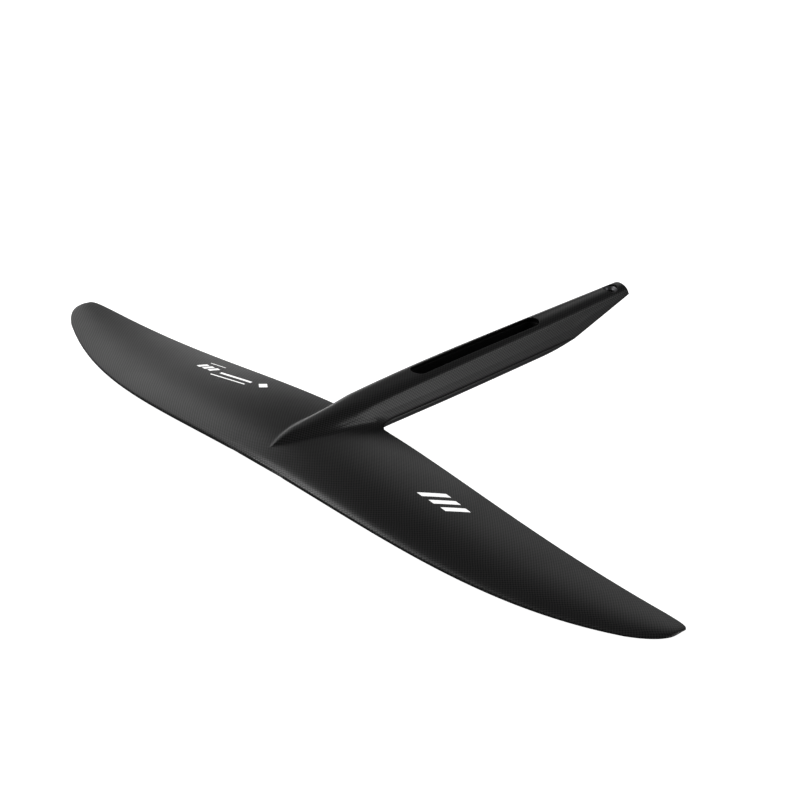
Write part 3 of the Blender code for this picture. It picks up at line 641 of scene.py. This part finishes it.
def cut(target, cutters, solver='EXACT'):
    """Cut the given closed shapes out of the target and remove them."""
    for cutter in cutters:
        boolean = target.modifiers.new(cutter.name, 'BOOLEAN')
        boolean.operation = 'DIFFERENCE'
        boolean.solver = solver
        boolean.object = cutter
    graph = bpy.context.evaluated_depsgraph_get()
    mesh = bpy.data.meshes.new_from_object(target.evaluated_get(graph))
    target.modifiers.clear()
    target.data = mesh
    mark_sharp(target)
    for cutter in cutters:
        bpy.data.objects.remove(cutter, do_unlink=True)


# ---------------------------------------------------------------------- openings, liner, bushes

ROUND_STEPS = 24             # on a quarter of a circle; a slot's round end has one more
SIDE_STEPS = 24              # on each straight side of a slot
FLARE_STEPS = 4
FLARE_SINK = 0.00002         # the flare starts this far under the dome
FLARE_CLEAR = 0.003          # and its cutter runs on this far above it
LINER_ROUND = 0.0008         # radius round the pocket's floor
RIM_ROUND = 0.5 * LINER_ROUND
RIM_STEPS = 4
FLOOR_STEPS = 5
BUSH_EDGE = 0.00015          # broken edges of the bushes


def stadium(half_width, length, y, height, steps=ROUND_STEPS + 1):
    """Slot outline, a rectangle with round ends along Y, at a height or on height(x, y)."""
    reach = 0.5 * length - half_width
    ring = []
    for end, start in ((1, 0.0), (-1, math.pi)):
        for k in range(steps + 1):
            angle = start + math.pi * k / steps
            ring.append((half_width * math.cos(angle), y + end * reach + half_width * math.sin(angle)))
        for k in range(1, SIDE_STEPS):
            ring.append((-end * half_width, y + end * reach * (1.0 - 2.0 * k / SIDE_STEPS)))
    level = height if callable(height) else lambda x, y: height
    return [np.array([x, y, level(x, y)]) for x, y in ring]


def circle(radius, y, height, segments=4 * ROUND_STEPS):
    """Circle round a screw's axis, at a height or on height(x, y)."""
    angles = [2.0 * math.pi * (k + 0.5) / segments for k in range(segments)]
    level = height if callable(height) else lambda x, y: height
    ring = [(radius * math.cos(a), y + radius * math.sin(a)) for a in angles]
    return [np.array([x, y, level(x, y)]) for x, y in ring]


def dome_height(x, y):
    """Height of the fuselage's rounded top."""
    share = min(abs(x) / shoulder_half(y), 1.0)
    return crest(y) - DOME_RISE * (1.0 - math.sqrt(1.0 - share * share))


def flared(shape, round_off, low):
    """Rings of a cutter that opens out in a small radius where it meets the dome."""
    rings = [shape(0.0, low)]
    for k in range(FLARE_STEPS + 1):
        angle = 0.5 * math.pi * k / FLARE_STEPS
        out = round_off * (1.0 - math.cos(angle))
        down = round_off * (1.0 - math.sin(angle)) + FLARE_SINK
        rings.append(shape(out, lambda x, y, down=down: dome_height(x, y) - down))
    rings.append(shape(round_off, lambda x, y: dome_height(x, y) + FLARE_CLEAR))
    return rings


def open_upper(upper):
    """Cut the slot's mouth and the tail screw's hole."""
    def slot_ring(out, height):
        return stadium(0.5 * POCKET_WIDTH + out, POCKET_LENGTH + 2.0 * out, POCKET_Y, height)

    def hole_ring(out, height):
        return circle(TAIL_BUSH_HEAD + GAP + out, TAIL_SCREW_Y, height)

    mouth = loft("mouth_cut", flared(slot_ring, MOUTH_ROUND, LINER_TOP_Z - CUT_MARGIN))
    hole_low = scarf(TAIL_SCREW_Y) - 2.0 * CUT_MARGIN
    hole = loft("hole_cut", flared(hole_ring, HOLE_ROUND, hole_low))
    cut(upper, [mouth, hole])


def open_lower(lower):
    """Cut the seats of the mast screws' heads and the tail screw's bore."""
    shelf = BELLY_Z + MAST_BUSH_HEAD_DEPTH + GAP
    cutters = []
    for sign in (-1, 1):
        y = POCKET_Y + 0.5 * sign * MAST_SCREW_SPACING
        rings = [circle(MAST_BUSH_HEAD + GAP, y, z) for z in (BELLY_Z - CUT_MARGIN, shelf)]
        cutters.append(loft("head_cut", rings))
    low = scarf(TAIL_SCREW_Y) - 2.0 * CUT_MARGIN
    rings = [circle(TAIL_SCREW_BORE, TAIL_SCREW_Y, z) for z in (low, CUT_TOP_Z)]
    cutters.append(loft("tail_cut", rings))
    cut(lower, cutters, 'MANIFOLD')


def make_liner():
    """Open-topped cup with a small radius round its floor and its rim."""
    half = 0.5 * POCKET_WIDTH
    bottom = POCKET_FLOOR_Z - LINER_FLOOR
    rings = [(LINER_WALL, bottom), (LINER_WALL, LINER_TOP_Z)]
    for k in range(RIM_STEPS + 1):
        angle = 0.5 * math.pi * k / RIM_STEPS
        rings.append((RIM_ROUND * (1.0 - math.sin(angle)),
                      LINER_TOP_Z - RIM_ROUND * (1.0 - math.cos(angle))))
    for k in range(FLOOR_STEPS + 1):
        angle = 0.5 * math.pi * k / FLOOR_STEPS
        rings.append((-LINER_ROUND * (1.0 - math.cos(angle)),
                      POCKET_FLOOR_Z + LINER_ROUND * (1.0 - math.sin(angle))))
    liner = loft("mast_pocket_cup", [
        stadium(half + out, POCKET_LENGTH + 2.0 * out, POCKET_Y, z) for out, z in rings])
    low = bottom - CUT_MARGIN
    cut(liner, [loft("screw_cut", [circle(MAST_SCREW_BORE, POCKET_Y + 0.5 * sign * MAST_SCREW_SPACING, z)
                                   for z in (low, POCKET_FLOOR_Z + CUT_MARGIN)]) for sign in (-1, 1)])
    return liner


def make_bush(name, y, bore, body, head, head_depth, face_z, foot_z):
    """Countersunk bush with broken edges, its head at face_z and its foot at foot_z."""
    inward = 1.0 if foot_z > face_z else -1.0
    sink = head - COUNTERSINK_RIM - bore
    edge = BUSH_EDGE
    profile = [(bore, foot_z), (body - edge, foot_z), (body, foot_z - inward * edge),
               (body, face_z + inward * head_depth), (head, face_z + inward * head_depth),
               (head, face_z + inward * edge), (head - edge, face_z),
               (head - COUNTERSINK_RIM + edge, face_z),
               (head - COUNTERSINK_RIM - edge, face_z + inward * 2.0 * edge),
               (bore + edge, face_z + inward * (sink - edge)), (bore, face_z + inward * (sink + edge))]
    return loft(name, [circle(radius, y, z) for radius, z in profile], closed_profile=True)


# ---------------------------------------------------------------------- materials

WEAVE_PITCH = 0.00157        # width of one tow of the plain weave
WEAVE_DEPTH = 0.0000125      # how deep the weave shows through the clear coat
GRAIN_SHARE = 0.12           # of that depth
BARE_WEAVE_DEPTH = 0.00002
CELL_DEPTH = 0.0002
TURNED_DEPTH = 0.000006
PRINT_DEPTH = 0.000004
PRINT_PAINTED_GLOW = 0.62            # painted light: emission makes the white print glow, to keep it bright on the dark wing


def new_material(name, base, roughness, metallic=0.0):
    material = bpy.data.materials.new(name)
    material.use_nodes = True
    nodes, links = material.node_tree.nodes, material.node_tree.links
    shader = nodes["Principled BSDF"]
    shader.inputs["Base Color"].default_value = (*base, 1.0)
    shader.inputs["Roughness"].default_value = roughness
    shader.inputs["Metallic"].default_value = metallic
    return material, nodes, links, shader


def math_node(nodes, links, operation, first, second=None):
    node = nodes.new("ShaderNodeMath")
    node.operation = operation
    for socket, value in zip(node.inputs, (first, second)):
        if value is None:
            continue
        if isinstance(value, (int, float)):
            socket.default_value = value
        else:
            links.new(value, socket)
    return node.outputs[0]


def noise(nodes, links, vector, scale, detail=3.0):
    node = nodes.new("ShaderNodeTexNoise")
    node.inputs["Scale"].default_value = scale
    node.inputs["Detail"].default_value = detail
    links.new(vector, node.inputs["Vector"])
    return node.outputs["Fac"]


def spread(nodes, links, value, low, high, out_low, out_high):
    node = nodes.new("ShaderNodeMapRange")
    ranges = {"From Min": low, "From Max": high, "To Min": out_low, "To Max": out_high}
    for name, number in ranges.items():
        node.inputs[name].default_value = number
    links.new(value, node.inputs["Value"])
    return node.outputs["Result"]


def tint(nodes, links, factor, dark, light):
    node = nodes.new("ShaderNodeMix")
    node.data_type = 'RGBA'
    node.inputs["A"].default_value = (*dark, 1.0)
    node.inputs["B"].default_value = (*light, 1.0)
    links.new(factor, node.inputs["Factor"])
    return node.outputs["Result"]


def bump(nodes, links, height, depth, shader):
    node = nodes.new("ShaderNodeBump")
    node.inputs["Strength"].default_value = 1.0
    node.inputs["Distance"].default_value = depth
    links.new(height, node.inputs["Height"])
    links.new(node.outputs["Normal"], shader.inputs["Normal"])


def weave_height(nodes, links, source):
    """Plain weave: over and under in turn, from flat coordinates in metres."""
    split = nodes.new("ShaderNodeSeparateXYZ")
    links.new(source, split.inputs[0])
    waves = []
    for axis in ("X", "Y"):
        turned = math_node(nodes, links, 'MULTIPLY', split.outputs[axis], math.pi / WEAVE_PITCH)
        waves.append(math_node(nodes, links, 'SINE', turned))
    return math_node(nodes, links, 'MULTIPLY', *waves)


def skin_material():
    material, nodes, links, shader = new_material("carbon_weave_satin", (0.003, 0.003, 0.003), 0.36)
    uv = nodes.new("ShaderNodeUVMap")
    uv.uv_map = "weave"
    place = nodes.new("ShaderNodeTexCoord").outputs["Object"]
    height = weave_height(nodes, links, uv.outputs["UV"])
    tow = spread(nodes, links, height, -1.0, 1.0, 0.0, 1.0)
    links.new(tint(nodes, links, tow, (0.0022, 0.0022, 0.0023), (0.0050, 0.0050, 0.0052)),
              shader.inputs["Base Color"])
    cloud = noise(nodes, links, place, 22.0)
    wear = noise(nodes, links, place, 700.0, 6.0)
    rough = math_node(nodes, links, 'ADD', spread(nodes, links, cloud, 0.3, 0.7, 0.335, 0.375),
                      spread(nodes, links, wear, 0.3, 0.7, -0.012, 0.012))
    links.new(rough, shader.inputs["Roughness"])
    links.new(spread(nodes, links, height, -1.0, 1.0, 0.25, 0.75), shader.inputs["Specular IOR Level"])
    grain = math_node(nodes, links, 'MULTIPLY', wear, GRAIN_SHARE)
    bump(nodes, links, math_node(nodes, links, 'ADD', height, grain), WEAVE_DEPTH, shader)
    return material


def laminate_material():
    material, nodes, links, shader = new_material("laminate_bare", (0.004, 0.004, 0.004), 0.55)
    place = nodes.new("ShaderNodeTexCoord").outputs["Object"]
    height = weave_height(nodes, links, place)
    tow = spread(nodes, links, height, -1.0, 1.0, 0.0, 1.0)
    links.new(tint(nodes, links, tow, (0.0015, 0.0015, 0.0015), (0.0035, 0.0035, 0.0037)),
              shader.inputs["Base Color"])
    shader.inputs["Specular IOR Level"].default_value = 0.2
    rough = spread(nodes, links, noise(nodes, links, place, 160.0), 0.3, 0.7, 0.48, 0.62)
    links.new(rough, shader.inputs["Roughness"])
    bump(nodes, links, height, BARE_WEAVE_DEPTH, shader)
    return material


def foam_material():
    material, nodes, links, shader = new_material("foam_cells", (0.72, 0.66, 0.50), 0.9)
    place = nodes.new("ShaderNodeTexCoord").outputs["Object"]
    cells = nodes.new("ShaderNodeTexVoronoi")
    cells.inputs["Scale"].default_value = 900.0
    links.new(place, cells.inputs["Vector"])
    links.new(tint(nodes, links, cells.outputs["Distance"], (0.58, 0.52, 0.38), (0.78, 0.72, 0.56)),
              shader.inputs["Base Color"])
    bump(nodes, links, cells.outputs["Distance"], CELL_DEPTH, shader)
    return material


def bush_material():
    material, nodes, links, shader = new_material("bush_turned", (0.10, 0.10, 0.105), 0.38, 1.0)
    place = nodes.new("ShaderNodeTexCoord").outputs["Object"]
    fine = noise(nodes, links, place, 1500.0, 4.0)
    links.new(tint(nodes, links, fine, (0.075, 0.075, 0.08), (0.13, 0.13, 0.135)),
              shader.inputs["Base Color"])
    links.new(spread(nodes, links, fine, 0.3, 0.7, 0.30, 0.46), shader.inputs["Roughness"])
    bump(nodes, links, fine, TURNED_DEPTH, shader)
    return material


def print_painted_glow_material():
    material, nodes, links, shader = new_material("print_white_painted_glow", (0.9, 0.9, 0.9), 0.5)
    place = nodes.new("ShaderNodeTexCoord").outputs["Object"]
    speck = noise(nodes, links, place, 900.0, 5.0)
    links.new(tint(nodes, links, speck, (0.86, 0.86, 0.86), (0.96, 0.96, 0.96)),
              shader.inputs["Base Color"])
    links.new(spread(nodes, links, speck, 0.3, 0.7, 0.42, 0.55), shader.inputs["Roughness"])
    # painted light: the white print glows by its own emission, though it is no lamp
    shader.inputs["Emission Color"].default_value = (1.0, 1.0, 1.0, 1.0)
    shader.inputs["Emission Strength"].default_value = PRINT_PAINTED_GLOW
    bump(nodes, links, speck, PRINT_DEPTH, shader)
    return material


def dress(item, material, slot_name, *replaced):
    item.data.materials.clear()
    item.data.materials.append(material)
    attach(item, "root")
    if replaced:
        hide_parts(*replaced)


# ---------------------------------------------------------------------- printed marks

MARK_PROUD = 0.00006         # how far a mark stands out of the surface
MARK_SUNK = 0.00003          # and how far it reaches into it

# Corners of each mark as (x, y) in the wing's frame, going round
RIGHT_BARS = [((0.1300 + 0.0135 * k, 0.0690 + 0.0010 * k), (0.1365 + 0.0135 * k, 0.0690 + 0.0010 * k),
               (0.1500 + 0.0125 * k, 0.0900 - 0.0005 * k), (0.1435 + 0.0125 * k, 0.0900 - 0.0005 * k))
              for k in range(3)]
LEFT_BLOCKS = [((-0.1930 + 0.0080 * k, 0.0870), (-0.1880 + 0.0080 * k, 0.0860),
                (-0.1840 + 0.0080 * k, 0.0950), (-0.1890 + 0.0080 * k, 0.0960)) for k in range(3)]
LEFT_LINES = [((-0.1640, 0.0800), (-0.1200, 0.0845), (-0.1205, 0.0862), (-0.1645, 0.0817)),
              ((-0.1600, 0.0880), (-0.1200, 0.0920), (-0.1210, 0.0952), (-0.1610, 0.0912)),
              ((-0.1900, 0.1010), (-0.1700, 0.1025), (-0.1701, 0.1035), (-0.1901, 0.1020))]
LEFT_DIAMOND = [((-0.1130, 0.0960), (-0.1050, 0.0900), (-0.1010, 0.0965), (-0.1090, 0.1025))]
# painted shade: a dark laminate patch on the fuselage's wall stands in for the shade inside a slit
SLIT_PAINTED_SHADE = ((0.3358, 0.0150), (0.3390, 0.0153), (0.3390, 0.0158), (0.3358, 0.0155))


def slab(work, corners, place, across=4, along=16):
    """Thin closed slab on a curved surface, where place(a, b, proud) gives its points."""
    corners = [np.array(corner) for corner in corners]
    sheets = []
    for proud in (MARK_PROUD, -MARK_SUNK):
        sheet = []
        for j in range(along + 1):
            start = corners[0] + (corners[3] - corners[0]) * j / along
            end = corners[1] + (corners[2] - corners[1]) * j / along
            spots = [place(*(start + (end - start) * i / across), proud) for i in range(across + 1)]
            sheet.append([work.verts.new(Vector(spot - ORIGIN)) for spot in spots])
        sheets.append(sheet)
    top, low = sheets
    for j in range(along):
        for i in range(across):
            work.faces.new((top[j][i], top[j][i + 1], top[j + 1][i + 1], top[j + 1][i]))
            work.faces.new((low[j][i], low[j + 1][i], low[j + 1][i + 1], low[j][i + 1]))
        for i, step in ((0, 1), (across, -1)):
            quad = (top[j][i], top[j + 1][i], low[j + 1][i], low[j][i])
            work.faces.new(quad[::step])
    for j, step in ((0, -1), (along, 1)):
        for i in range(across):
            quad = (top[j][i], top[j][i + 1], low[j][i + 1], low[j][i])
            work.faces.new(quad[::step])


def on_wing(x, y, proud):
    return np.array([x, y, centre_surface(x, y, 1) + proud])


def on_wall(y, z, proud):
    return np.array([side_x(y, z) + proud, y, z])


def add_marks(name, shapes, place, material):
    work = bmesh.new()
    for corners in shapes:
        slab(work, corners, place)
    dress(finished(name, work), material, None)


# ---------------------------------------------------------------------- build the pieces

carbon = skin_material()
laminate = laminate_material()
foam = foam_material()
steel = bush_material()
ink_painted_glow = print_painted_glow_material()

upper = sheet_mesh("skin_upper", *skin_points(1))
open_upper(upper)
dress(upper, carbon, "shell_carbon", "upper_shell")
lower = sheet_mesh("skin_lower", *skin_points(-1))
open_lower(lower)
dress(lower, carbon, "shell_carbon", "lower_shell")
dress(make_liner(), laminate, "inner_laminate", "mast_pocket_liner")
for end, sign in (("front", -1), ("rear", 1)):
    bush = make_bush("screw_bush_" + end, POCKET_Y + 0.5 * sign * MAST_SCREW_SPACING, MAST_SCREW_BORE,
                     MAST_BUSH_BODY, MAST_BUSH_HEAD, MAST_BUSH_HEAD_DEPTH, BELLY_Z,
                     POCKET_FLOOR_Z - LINER_FLOOR - GAP)
    dress(bush, steel, "bush_steel", "mast_screw_bush_" + end)
bush = make_bush("screw_bush_tail", TAIL_SCREW_Y, TAIL_SCREW_BORE, TAIL_BUSH_BODY, TAIL_BUSH_HEAD,
                 TAIL_BUSH_HEAD_DEPTH, TAIL_BUSH_TOP_Z, TAIL_BUSH_FOOT_Z)
dress(bush, steel, "bush_steel", "tail_screw_bush")

add_marks("print_right", RIGHT_BARS, on_wing, ink_painted_glow)
add_marks("print_left", LEFT_BLOCKS + LEFT_LINES + LEFT_DIAMOND, on_wing, ink_painted_glow)
# painted shade: the slit is a dark patch laid on the wall, not an opening
add_marks("wall_slit_painted_shade", [SLIT_PAINTED_SHADE], on_wall, laminate)

for name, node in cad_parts.items():
    if node.hide_render:
        continue
    node.data.materials.clear()
    node.data.materials.append(foam if "core" in name else laminate)


# ---------------------------------------------------------------------- floor, light, camera

def look_at(item, target):
    item.rotation_euler = (Vector(target) - item.location).to_track_quat('-Z', 'Y').to_euler()


def add_panel(name, place, aim, width, tall, radiance):
    """Area light of an even radiance, placed and aimed in the wing's frame."""
    light = bpy.data.lights.new(name, 'AREA')
    light.shape = 'RECTANGLE'
    light.size, light.size_y = width, tall
    light.energy = radiance * width * tall * math.pi
    item = bpy.data.objects.new(name, light)
    item.location = Vector(np.array(place) - ORIGIN)
    bpy.context.scene.collection.objects.link(item)
    look_at(item, np.array(aim) - ORIGIN)


FLOOR_Z = -0.0310            # just under the tips
FLOOR_HALF = 30
FLOOR_GLOW = 1.0
WORLD_STRENGTH = 0.13
CAMERA_LENS = 120.846        # mm
CAMERA_SENSOR = 36.0         # mm
CAMERA_PLACE = (1.577795, -1.496291, 1.132379)
CAMERA_AIM = (0.001165, -0.093571, 0.001699)
CAMERA_ROLL = -0.3830        # degrees

mesh = bpy.data.meshes.new("floor")
turns = ((-1, -1), (1, -1), (1, 1), (-1, 1))
corners = [(x * FLOOR_HALF, y * FLOOR_HALF, FLOOR_Z) for x, y in turns]
mesh.from_pydata(corners, [], [(0, 1, 2, 3)])
floor = bpy.data.objects.new("floor", mesh)
bpy.context.scene.collection.objects.link(floor)
material, nodes, links, shader = new_material("floor_pale", (0.6, 0.6, 0.6), 0.9)
shader.inputs["Emission Color"].default_value = (1.0, 1.0, 1.0, 1.0)
shader.inputs["Emission Strength"].default_value = FLOOR_GLOW
mesh.materials.append(material)
floor.visible_glossy = False
floor.visible_shadow = False

world = bpy.data.worlds.new("studio")
bpy.context.scene.world = world
world.use_nodes = True
background = world.node_tree.nodes["Background"]
background.inputs["Color"].default_value = (1.0, 1.0, 1.0, 1.0)
background.inputs["Strength"].default_value = WORLD_STRENGTH

add_panel("back_left", (-1.00, 0.13, 0.50), (0.0, 0.10, 0.0), 0.93, 0.75, 0.86)
add_panel("back_left_low", (-1.05, 0.24, 0.04), (0.0, 0.10, 0.0), 1.15, 0.18, 0.62)
add_panel("back", (-1.05, 1.75, 0.78), (0.15, 0.08, 0.0), 0.60, 0.95, 0.60)
add_panel("top_left", (-0.76, -0.45, 1.35), (0.0, 0.0, 0.0), 0.90, 0.46, 4.8)
add_panel("front_left", (-0.80, -1.10, 0.86), (0.0, 0.0, 0.0), 0.75, 0.50, 7.0)
add_panel("right", (1.50, 0.77, -0.20), (0.0, 0.20, 0.0), 1.30, 1.45, 1.62)
add_panel("right_high", (1.00, 1.01, 0.72), (0.0, 0.20, 0.0), 0.55, 0.42, 2.90)
add_panel("horizon", (-1.30, 1.10, -0.24), (0.0, 0.10, 0.0), 1.40, 0.28, 1.70)

camera_data = bpy.data.cameras.new("camera")
camera = bpy.data.objects.new("camera", camera_data)
bpy.context.scene.collection.objects.link(camera)
camera_data.lens = CAMERA_LENS
camera_data.sensor_width = CAMERA_SENSOR
camera.location = CAMERA_PLACE
look_at(camera, CAMERA_AIM)
camera.rotation_euler.rotate_axis('Z', math.radians(CAMERA_ROLL))
bpy.context.scene.camera = camera
bpy.context.scene.view_settings.view_transform = 'Standard'
